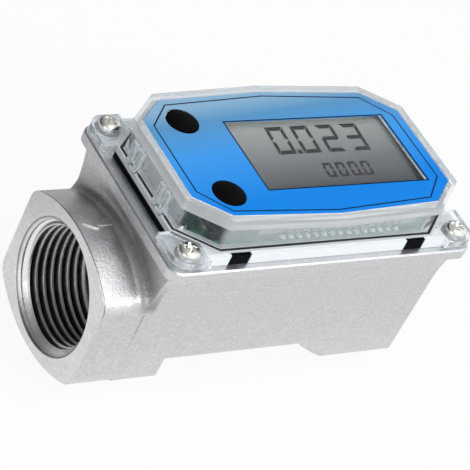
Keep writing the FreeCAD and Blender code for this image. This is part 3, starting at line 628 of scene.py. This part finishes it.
def blue_film():
    """Blue print under a thin coat, with a painted reflection that pales it towards the far edge."""
    material, tree, shader = new_material("blue film")
    # painted reflection: the blue turns paler and greyer towards the far edge
    color = gradient(tree, (-0.12, 1.0, 0), label_low.y, label_high.y,
                     ((0.17, (0.006, 0.25, 0.84)), (0.56, (0.055, 0.35, 0.90)),
                      (0.82, (0.11, 0.33, 0.60)), (0.95, (0.28, 0.48, 0.69))))
    link(tree, color, shader.inputs["Base Color"])
    shader.inputs["Roughness"].default_value = 0.4
    shader.inputs["Specular IOR Level"].default_value = 0.05
    shader.inputs["Coat Weight"].default_value = 0.02
    shader.inputs["Coat Roughness"].default_value = 0.1
    return material


def display_grey():
    """Grey display cell with a painted reflection, lighter towards the far edge and darker towards the
    reader.
    """
    material, tree, shader = new_material("display cell")
    # painted reflection: lighter towards the far edge of the cell
    color = gradient(tree, (-0.08, 1.0, 0), cell_low.y, cell_high.y,
                     ((0.05, (0.022, 0.024, 0.030)), (0.40, (0.118, 0.118, 0.120)),
                      (0.92, (0.32, 0.32, 0.30))))
    link(tree, color, shader.inputs["Base Color"])
    shader.inputs["Roughness"].default_value = 0.3
    shader.inputs["Specular IOR Level"].default_value = 0.05
    return material


finishes["blue_film"] = blue_film()
finishes["lcd"] = display_grey()
film_size = (label_high - label_low) / mm
print("film", round(film_size.x, 1), "x", round(film_size.y, 1), "mm")

# %% [markdown]
# ## A finish for every solid
# Each sub-part of the meter is made of one stuff, and the record names it as a material slot.
# Picking a material by hand for each would be slow and easy to get wrong, so one loop gives every
# CAD node the finish of its slot, the hidden ones too.

# %% Finish of each node
for node, piece in nodes.items():
    piece.data.materials.clear()
    piece.data.materials.append(finishes[slot_of[node]])
print("slots in use", len(set(slot_of.values())))

# %% [markdown]
# ## Soft skins
# A CAD node comes as loose triangles, so a large curved part would shade in flat facets. A new
# mesh could be modelled over it, but the CAD form is right as it is. So a copy is merged into
# one skin and shaded smooth up to a sharp angle, and it stands for the node. The moulded cover and
# the buttons also get a narrow Bevel modifier, because a mould gives no knife edges; a modifier
# keeps the copy itself true to the CAD form.

# %% Copies of the solids
sharp_angle = math.radians(28)
weld_reach = 0.002 * mm
cover_edge = 0.12 * mm
button_edge = 0.25 * mm


def finish_mesh(mesh):
    """Smooth shading up to the sharp angle."""
    mesh.shade_smooth()
    mesh.set_sharp_from_angle(angle=sharp_angle)


def dressed(node, body, edge=0.0, segments=2, finish=None):
    """Merged copy of a CAD node with soft edges, which stands for the node."""
    mesh = nodes[node].data.copy()
    mesh.name = node + "_skin"
    shape = bmesh.new()
    shape.from_mesh(mesh)
    bmesh.ops.remove_doubles(shape, verts=shape.verts, dist=weld_reach)
    shape.to_mesh(mesh)
    shape.free()
    stored = mesh.attributes.get("custom_normal")
    if stored:
        mesh.attributes.remove(stored)
    finish_mesh(mesh)
    mesh.materials.clear()
    mesh.materials.append(finishes[finish or slot_of[node]])
    piece = bpy.data.objects.new(node + "_skin", mesh)
    scene.collection.objects.link(piece)
    if edge:
        bevel = piece.modifiers.new("soft edges", "BEVEL")
        bevel.width = edge
        bevel.segments = segments
        bevel.limit_method = "ANGLE"
        bevel.angle_limit = sharp_angle
    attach(piece, body)
    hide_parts(node)
    return piece


skins = [dressed("housing", "root", finish="casting_with_painted_shade"),
         dressed("display_cover", "root", cover_edge),
         dressed("outlet_support", "root"),
         dressed("inlet_support", "root"),
         dressed("turbine_rotor", "rotor"),
         dressed("calibrate_button", "calibrate_key", button_edge, 3),
         dressed("display_button", "display_key", button_edge, 3)]
for skin in skins:
    print(skin.name, "points", len(skin.data.vertices))

# %% [markdown]
# ## Pipe threads
# Each port has a 1 inch parallel pipe thread, cut with a tap. Its turns are one long ridge on
# the wall of the port: a trapezoid that is spun about the bore and moved along it a little at
# every step. A Screw modifier could do that too, but here the points are needed afterwards: where
# the lead-in chamfer would have cut the ridge, they are pushed out to the chamfer's cone. A small
# gap between the feet of two turns keeps them from merging.

# %% Thread ridges
thread_pitch = 2.309 * mm
crest_width = 0.45 * mm
wall_sink = 0.05 * mm
turn_gap = 0.02 * mm
chamfer_depth = 1.0 * mm
steps_per_turn = 96
same_point = 0.001 * mm


def add_piece(name, shape, slot, body="root", finish=None):
    """Object from a bmesh, with its finish, on its body."""
    mesh = bpy.data.meshes.new(name)
    shape.to_mesh(mesh)
    shape.free()
    finish_mesh(mesh)
    mesh.materials.append(finishes[finish or slot])
    piece = bpy.data.objects.new(name, mesh)
    scene.collection.objects.link(piece)
    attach(piece, body)
    return piece


def thread_ridge(name, mount):
    """Helical ridge on a port's wall."""
    mouth = Vector(mount["pos_m"])
    outward = Vector(mount["axis"])
    wall = mount["dims"]["r_mm"] * mm
    depth = mount["dims"]["length_mm"] * mm
    shape = bmesh.new()
    half = thread_pitch / 2 - turn_gap
    profile = [(wall + wall_sink, -half), (thread_crest, -crest_width / 2),
               (thread_crest, crest_width / 2), (wall + wall_sink, half)]
    corners = [shape.verts.new(mouth - outward * along + Vector((0, 0, radius)))
               for radius, along in profile]
    face = shape.faces.new(corners)
    turns = (depth - half) / thread_pitch
    steps = round(turns * steps_per_turn)
    bmesh.ops.spin(shape, geom=[face, *face.edges, *face.verts], cent=mouth, axis=-outward,
                   dvec=-outward * thread_pitch / steps_per_turn,
                   angle=math.tau * steps / steps_per_turn, steps=steps, use_duplicate=False)
    for vert in shape.verts:
        inside = (mouth - vert.co).dot(outward) + chamfer_depth
        across = vert.co - mouth
        across -= outward * across.dot(outward)
        cone = wall + chamfer_depth - max(inside, 0)
        radius = min(max(across.length, cone), wall + wall_sink)
        vert.co += across.normalized() * (radius - across.length)
        if inside < chamfer_depth:
            vert.co -= outward * (chamfer_depth - inside)
    bmesh.ops.remove_doubles(shape, verts=shape.verts, dist=same_point)
    bmesh.ops.recalc_face_normals(shape, faces=shape.faces)
    return add_piece(name, shape, "cast_metal", finish="thread_with_painted_shade")


for port in ("outlet_port", "inlet_port"):
    ridge = thread_ridge(port.replace("port", "thread"), ports[port])
    print(ridge.name, "faces", len(ridge.data.polygons))

# %% [markdown]
# ## Lines on the film
# A thin dark line runs round the film, parallel to its ten sides, and another frames the display.
# On the real film they are printed. A painted image would do, but a ribbon of mesh keeps its
# edges sharp from close by. A ribbon starts as one face on the line's outline. The face is inset
# by the line's width, its middle is deleted, and the rest is pulled up into a closed band that
# stands three hundredths of a millimetre over the film.

# %% Ribbons
film_top = label_high.z
label_middle = (label_low + label_high) / 2
line_width = 0.36 * mm
line_height = 0.03 * mm
border_corners = ((37.2, 11.7), (30.3, 19.0), (0.0, 21.0), (-30.3, 19.0), (-37.2, 11.7))


def pulled(shape, faces, shift):
    """Pulls faces into a closed solid along a vector."""
    made = bmesh.ops.extrude_face_region(shape, geom=faces)["geom"]
    far = [part for part in made if isinstance(part, bmesh.types.BMVert)]
    bmesh.ops.translate(shape, vec=shift, verts=far)
    bmesh.ops.recalc_face_normals(shape, faces=shape.faces)


def ribbon(outline, width, bottom, top):
    """Closed flat band along the inside of an outline."""
    shape = bmesh.new()
    face = shape.faces.new([shape.verts.new((point.x, point.y, bottom)) for point in outline])
    face.normal_update()
    band = bmesh.ops.inset_individual(shape, faces=[face], thickness=width, use_even_offset=True)["faces"]
    bmesh.ops.delete(shape, geom=[face], context="FACES_ONLY")
    pulled(shape, band, Vector((0, 0, top - bottom)))
    return shape


def rectangle(middle, half):
    """Four corners, anticlockwise."""
    return [Vector((middle.x + sx * half.x, middle.y + sy * half.y))
            for sx, sy in ((-1, -1), (1, -1), (1, 1), (-1, 1))]


def dark_ink(slot, name, color):
    """Dark print that hardly mirrors anything."""
    finishes[slot] = grained(name, color, 0.5, 0.05, 3000, 0.000002)
    dulled(slot, 0.05)


dark_ink("line_ink", "line ink", (0.004, 0.022, 0.065))
half_border = [Vector((label_middle.x + x * mm, label_middle.y + y * mm)) for x, y in border_corners]
border = half_border + [Vector((2 * label_middle.x - point.x, 2 * label_middle.y - point.y))
                        for point in half_border]
border = [point for at, point in enumerate(border) if (point - border[at - 1]).length > line_width]
frame_line = rectangle(cell_middle, window_half + Vector((line_width, line_width)))
for name, outline in (("label_border", border), ("window_line", frame_line)):
    line = add_piece(name, ribbon(outline, line_width, film_top - line_height, film_top + line_height),
                     "blue_film", finish="line_ink")
    print(line.name, "corners", len(outline))

# %% [markdown]
# ## Digits
# A liquid crystal cell shows its digits as seven separate segments with mitred ends, all leaning
# a little. Text objects with a digital font would need that font, so each segment is a thin plate
# just over the cell. Its corners are worked out from the digit's width, height and stroke, and the
# large and the small digits come from one recipe. The numbers are plain readings: a total of
# 0.023 and a rate of 000.0.

# %% Seven segment digits
segment_of = {"0": "abcdef", "2": "abged", "3": "abgcd"}
segment_height = 0.05 * mm
segment_gap = 0.12 * mm
segment_sink = 0.02 * mm
dot_share = 0.55
dark_ink("segment_ink", "segment ink", (0.002, 0.002, 0.003))


def segment_corners(width, height, stroke, post):
    """Corners of each segment, from the digit's lower left corner, upright."""
    middle = height / 2
    gap = segment_gap
    bar = stroke / 2
    top = [(gap, height), (width - gap, height), (width - gap - post, height - stroke),
           (gap + post, height - stroke)]
    right = [(width, height - gap), (width, middle + gap), (width - post, middle + gap + bar),
             (width - post, height - gap - stroke)]
    flip_up = [(x, height - y) for x, y in top]
    left = [(width - x, y) for x, y in right]
    waist = [(gap, middle), (gap + post / 2, middle + bar), (width - gap - post / 2, middle + bar),
             (width - gap, middle), (width - gap - post / 2, middle - bar), (gap + post / 2, middle - bar)]
    return {"a": top, "b": right, "f": left, "g": waist, "d": flip_up,
            "c": [(x, height - y) for x, y in right], "e": [(x, height - y) for x, y in left]}


def plate(shape, points, bottom, top):
    """Closed flat plate on a convex outline."""
    face = shape.faces.new([shape.verts.new((x, y, bottom)) for x, y in points])
    pulled(shape, [face], Vector((0, 0, top - bottom)))


def digit_row(name, text, start, near, pitch, size, stroke, post, lean, point_after):
    """Row of digits; start and near place the first one's lower left corner in the window."""
    width, height = size
    shape = bmesh.new()
    origin = Vector((cell_middle.x - window_half.x + start, cell_middle.y + window_half.y - near))
    low = cell_high.z - segment_sink
    high = cell_high.z + segment_height

    def at_place(points, shift):
        return [(origin.x + shift + x + lean * y / height, origin.y + y) for x, y in points]

    for place, character in enumerate(text):
        corners = segment_corners(width, height, stroke, post)
        for segment in segment_of[character]:
            plate(shape, at_place(corners[segment], place * pitch), low, high)
    half_dot = (pitch - width) * dot_share / 2
    middle = (pitch + width) / 2
    square = [(middle - half_dot, 0), (middle + half_dot, 0),
              (middle + half_dot, stroke), (middle - half_dot, stroke)]
    plate(shape, at_place(square, point_after * pitch), low, high)
    add_piece(name, shape, "lcd", finish="segment_ink")
    print(name, text, "segments", sum(len(segment_of[character]) for character in text))


digit_row("total_digits", "0023", start=11.6 * mm, near=10.95 * mm, pitch=7.8 * mm,
          size=(5.4 * mm, 9.9 * mm), stroke=1.3 * mm, post=1.0 * mm, lean=0.6 * mm, point_after=0)
digit_row("rate_digits", "0000", start=21.7 * mm, near=19.9 * mm, pitch=3.92 * mm,
          size=(2.75 * mm, 5.1 * mm), stroke=0.8 * mm, post=0.72 * mm, lean=0.4 * mm, point_after=2)

# %% [markdown]
# ## Flow arrow
# A raised arrow on the outlet boss shows the way of the flow. It is part of the casting, so it
# has the casting's finish and soft edges. A boolean could join it to the boss, but a separate
# piece that sinks into the crown looks the same. Its outline is drawn in plan, pulled up, and then
# every point is lifted onto the crown's arc.

# %% Flow arrow
arrow_side = 1.3 * mm
arrow_tip = housing_low.x + 1.9 * mm
head_length = 3.5 * mm
head_half = 2.3 * mm
shaft_half = 1.0 * mm
shaft_end = housing_low.x + 9.8 * mm
arrow_rise = 0.4 * mm
arrow_edge = 0.2 * mm


def crown_height(y):
    """Height of the boss's crown."""
    return crown_centre + math.sqrt(crown_radius ** 2 - y ** 2)


def flow_arrow():
    """Solid arrow with its underside sunk in the crown."""
    base = arrow_tip + head_length
    outline = [(arrow_tip, 0), (base, -head_half), (base, -shaft_half), (shaft_end, -shaft_half),
               (shaft_end, shaft_half), (base, shaft_half), (base, head_half)]
    shape = bmesh.new()
    corners = [shape.verts.new((x, y + arrow_side, 0)) for x, y in outline]
    head = shape.faces.new([corners[at] for at in (0, 1, 2, 5, 6)])
    shaft = shape.faces.new(corners[2:6])
    pulled(shape, [head, shaft], Vector((0, 0, 2 * arrow_rise)))
    for vert in shape.verts:
        vert.co.z += crown_height(vert.co.y) - arrow_rise
    return shape


arrow = add_piece("flow_arrow", flow_arrow(), "cast_metal")
soften = arrow.modifiers.new("soft edges", "BEVEL")
soften.width = arrow_edge
soften.segments = 2
print(arrow.name, round((shaft_end - arrow_tip) / mm, 1), "mm long")

# %% [markdown]
# ## Cover screws
# Each cover screw has a domed head with a cross recess. The head is cold formed, so the recess
# has sloping walls and no sharp corner. Cutting a cross out of a dome would leave it too crisp.
# Instead the screw is spun from a profile with many rings, and the points of its top are then
# set to a height: a dome, less a cross whose arms get shallower outwards.

# %% Screw heads
screw_low, screw_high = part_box("cover_screws")
head_radius = 2.95 * mm
head_height = 1.8 * mm
head_side = 0.5 * mm
dome_power = 2.6
shank_radius = 1.5 * mm
recess_reach = 1.75 * mm
recess_half = 0.48 * mm
recess_depth = 1.05 * mm
recess_wall = 0.2 * mm
recess_ramp = 0.9 * mm
screw_turns = (0.3, 1.1, 0.7, 0.2)
around = 64
rings = 22


def turned(shape, centre, profile, sides):
    """Closed form spun about an upright axis from (radius, height) points; gives its points."""
    before = set(shape.verts)
    corners = [shape.verts.new((centre.x + radius, centre.y, height)) for radius, height in profile]
    edges = [shape.edges.new(pair) for pair in zip(corners, corners[1:])]
    bmesh.ops.spin(shape, geom=corners + edges, cent=(centre.x, centre.y, 0), axis=(0, 0, 1),
                   angle=math.tau, steps=sides, use_merge=True, use_duplicate=False)
    new = [vert for vert in shape.verts if vert not in before]
    bmesh.ops.remove_doubles(shape, verts=new, dist=same_point)
    bmesh.ops.recalc_face_normals(shape, faces=shape.faces)
    return [vert for vert in shape.verts if vert not in before]


def head_surface(radius, angle):
    """Height of a head's top over its seat."""
    share = min(radius / head_radius, 1)
    dome = head_side + (head_height - head_side) * math.sqrt(1 - share ** dome_power)
    x = abs(radius * math.cos(angle))
    y = abs(radius * math.sin(angle))
    arm = min(max((recess_half - min(x, y)) / recess_wall, 0), 1)
    slope = min(max((recess_reach - max(x, y)) / recess_ramp, 0), 1)
    return dome - recess_depth * arm * slope


def domed_screws(centres, turns):
    """Screws with domed heads, each turned by its own angle."""
    shape = bmesh.new()
    seat = screw_high.z - head_height
    shank = [(0, screw_low.z), (shank_radius, screw_low.z), (shank_radius, seat), (head_radius, seat)]
    dome = [(head_radius * ring / rings, seat + head_side) for ring in range(rings, -1, -1)]
    for centre, turn in zip(centres, turns):
        for vert in turned(shape, centre, shank + dome, around):
            if vert.co.z > seat + head_side / 2:
                across = vert.co.xy - centre
                vert.co.z = seat + head_surface(across.length, math.atan2(across.y, across.x) + turn)
    return shape


screw_centres = [Vector((x, y)) for x in (screw_low.x + head_radius, screw_high.x - head_radius)
                 for y in (screw_low.y + head_radius, screw_high.y - head_radius)]
screws = add_piece("domed_screws", domed_screws(screw_centres, screw_turns), "bright_screw")
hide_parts("cover_screws")
print("screws", len(screw_centres), "faces", len(screws.data.polygons))

# %% [markdown]
# ## Solder
# The display's pins are soldered to the board, so each one stands in a small cone of tin, and
# tinned rings surround the two board screws. Both are round, so both are spun from a profile. A
# joint's profile is hollow like real solder, which climbs the pin and thins out on the pad.

# %% Solder and screw pads
finishes["solder"] = grained("bright solder", (0.92, 0.92, 0.90), 0.3, 0.05, 2500, 0.00002, 0.3)
pin_low, pin_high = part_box("lcd_pins")
board_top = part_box("circuit_board")[1].z
board_screw_low, board_screw_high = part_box("board_screws")
pin_half = 0.25 * mm
pins_in_row = 15
pin_span = pin_high.x - pin_low.x - 2 * pin_half
joint_sides = 16
joint_mm = ((0.0, -0.02), (0.85, -0.02), (0.8, 0.15), (0.5, 0.45), (0.3, 0.9), (0.0, 0.9))
joint_profile = [(radius * mm, board_top + rise * mm) for radius, rise in joint_mm]
pad_hole = 2.05 * mm
pad_radius = 2.8 * mm
pad_sink = 0.01 * mm
pad_rise = 0.04 * mm
board_screw_radius = 1.9 * mm
ring_sides = 48


def round_ring(shape, centre, inner, outer, bottom, top):
    """Flat ring; gives its points."""
    profile = ((inner, bottom), (outer, bottom), (outer, top), (inner, top), (inner, bottom))
    return turned(shape, centre, profile, ring_sides)


solder = bmesh.new()
for row in (pin_low.y + pin_half, pin_high.y - pin_half):
    for pin in range(pins_in_row):
        spot = pin_low.x + pin_half + pin_span * pin / (pins_in_row - 1)
        turned(solder, Vector((spot, row)), joint_profile, joint_sides)
add_piece("pin_solder", solder, "pin_metal", finish="solder")

pads = bmesh.new()
pad_x = (board_screw_low.x + board_screw_high.x) / 2
pad_spread = board_screw_high.y - board_screw_radius
for side in (-1, 1):
    round_ring(pads, Vector((pad_x, side * pad_spread)), pad_hole, pad_radius,
               board_top - pad_sink, board_top + pad_rise)
add_piece("screw_pads", pads, "pin_metal")
print("solder joints", 2 * pins_in_row, "on a board at", round(board_top / mm, 2), "mm")

# %% [markdown]
# ## Switch plates
# A push switch is held together by a folded metal plate: square, with a round hole for the
# plunger and two ears down the sides of the black body. Cutting a round hole in a square needs a
# boolean. A round ring whose outer points are pushed out to a square gives the same plate, and
# the ears are plain blocks.

# %% Switch plates
switch_low, switch_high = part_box("tactile_switches")
switch_half = (switch_high.x - switch_low.x) / 2
switch_x = (switch_low.x + switch_high.x) / 2
plunger_hole = 2.0 * mm
plate_metal = 0.2 * mm
plate_reach = switch_half + 0.02 * mm
plate_under = switch_high.z - 0.6 * mm
plate_top = plate_under + plate_metal
ear_half = 1.6 * mm
ear_lift = 0.1 * mm


def block(shape, low, high):
    """Closed box between two corners."""
    bmesh.ops.create_cube(shape, size=1, matrix=Matrix.LocRotScale((low + high) / 2, None, high - low))


plates = bmesh.new()
for switch_y in (switch_high.y - switch_half, switch_low.y + switch_half):
    centre = Vector((switch_x, switch_y))
    for vert in round_ring(plates, centre, plunger_hole, plate_reach, plate_under, plate_top):
        across = vert.co.xy - centre
        if across.length > (plunger_hole + plate_reach) / 2:
            vert.co.xy = centre + across * plate_reach / max(abs(across.x), abs(across.y))
    for side in (-1, 1):
        near, far = sorted((switch_x + side * plate_reach, switch_x + side * (plate_reach + plate_metal)))
        block(plates, Vector((near, switch_y - ear_half, board_top + ear_lift)),
              Vector((far, switch_y + ear_half, plate_top)))
switch_plates = add_piece("switch_plates", plates, "bright_steel")
print(switch_plates.name, "faces", len(switch_plates.data.polygons))

# %% [markdown]
# ## Chip parts
# Small chip parts stand where the board is free. Each is a ceramic block with a tinned cap round
# either end, by which it is soldered. Instances of one chip would do on a crowded board. These are
# few, so all the blocks go into one mesh and all the caps into another, one per material.

# %% Chips
chip_places = ((-31.2, -5.6, 0), (-31.2, 4.9, 0), (-13.0, -8.6, 1), (-13.0, 7.9, 1), (-15.6, 13.2, 0),
               (-16.2, -12.9, 0), (-9.6, -17.9, 0), (37.6, -12.4, 1), (37.6, 10.9, 1), (40.1, 2.4, 1))
chip_half_length = 1.0 * mm
chip_half_width = 0.62 * mm
chip_height = 0.55 * mm
cap_half_length = 0.22 * mm
cap_metal = 0.03 * mm
cap_height = 0.59 * mm


def laid(along, across, upright):
    """X and Y of a length and a width, for a chip along X or along Y."""
    return Vector((across, along)) if upright else Vector((along, across))


def on_board(shape, middle, half, height):
    """Block that stands on the board."""
    block(shape, Vector((*(middle - half), board_top)), Vector((*(middle + half), board_top + height)))


chip_bodies = bmesh.new()
chip_caps = bmesh.new()
for chip_x, chip_y, upright in chip_places:
    middle = Vector((chip_x, chip_y)) * mm
    on_board(chip_bodies, middle, laid(chip_half_length, chip_half_width, upright), chip_height)
    for side in (-1, 1):
        on_board(chip_caps, middle + laid(side * chip_half_length, 0, upright),
                 laid(cap_half_length, chip_half_width + cap_metal, upright), cap_height)
add_piece("chip_bodies", chip_bodies, "black_plastic")
add_piece("chip_caps", chip_caps, "pin_metal")
print("chips", len(chip_places))
